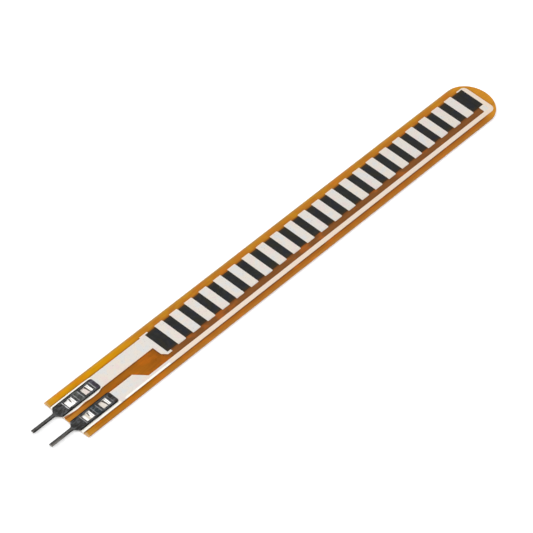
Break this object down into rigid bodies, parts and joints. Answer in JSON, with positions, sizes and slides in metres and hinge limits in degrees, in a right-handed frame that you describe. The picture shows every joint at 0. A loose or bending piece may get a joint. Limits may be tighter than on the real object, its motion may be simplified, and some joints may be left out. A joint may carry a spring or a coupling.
{
  "type": "flex sensor",
  "caption": "Flat resistive bend sensor: amber film strip with a round tip, printed silver leads, carbon strip under silver segment pads, and stamped crimp terminals ending in flat pins.",
  "frame": {"origin": "under the middle of the whole part, pins included, level with the undersides of the clinched tines that it rests on", "axes": "+X along the strip from the pins to the round tip, +Z out of the printed face, +Y away from the narrow return trace"},
  "size_m": [0.0768, 0.0064, 0.0004],
  "materials": {
    "polyimide_film": "semi-gloss amber polyimide",
    "silver_ink": "satin screen-printed silver-filled ink",
    "carbon_ink": "matt screen-printed carbon ink",
    "tinned_terminal": "dull tin plate, bright where the tines were bent"
  },
  "bodies": {
    "root": {"base_film": "polyimide_film", "contact_trace": "silver_ink", "return_trace": "silver_ink", "carbon_strip": "carbon_ink", "crimp_terminal_1": "tinned_terminal", "crimp_terminal_2": "tinned_terminal", "segment_pad_01": "silver_ink", "segment_pad_02": "silver_ink", "segment_pad_03": "silver_ink", "segment_pad_04": "silver_ink", "segment_pad_05": "silver_ink", "segment_pad_06": "silver_ink", "segment_pad_07": "silver_ink", "segment_pad_08": "silver_ink", "segment_pad_09": "silver_ink", "segment_pad_10": "silver_ink", "segment_pad_11": "silver_ink", "segment_pad_12": "silver_ink", "segment_pad_13": "silver_ink", "segment_pad_14": "silver_ink", "segment_pad_15": "silver_ink", "segment_pad_16": "silver_ink", "segment_pad_17": "silver_ink", "segment_pad_18": "silver_ink", "segment_pad_19": "silver_ink", "segment_pad_20": "silver_ink", "segment_pad_21": "silver_ink", "segment_pad_22": "silver_ink"}
  },
  "joints": []
}
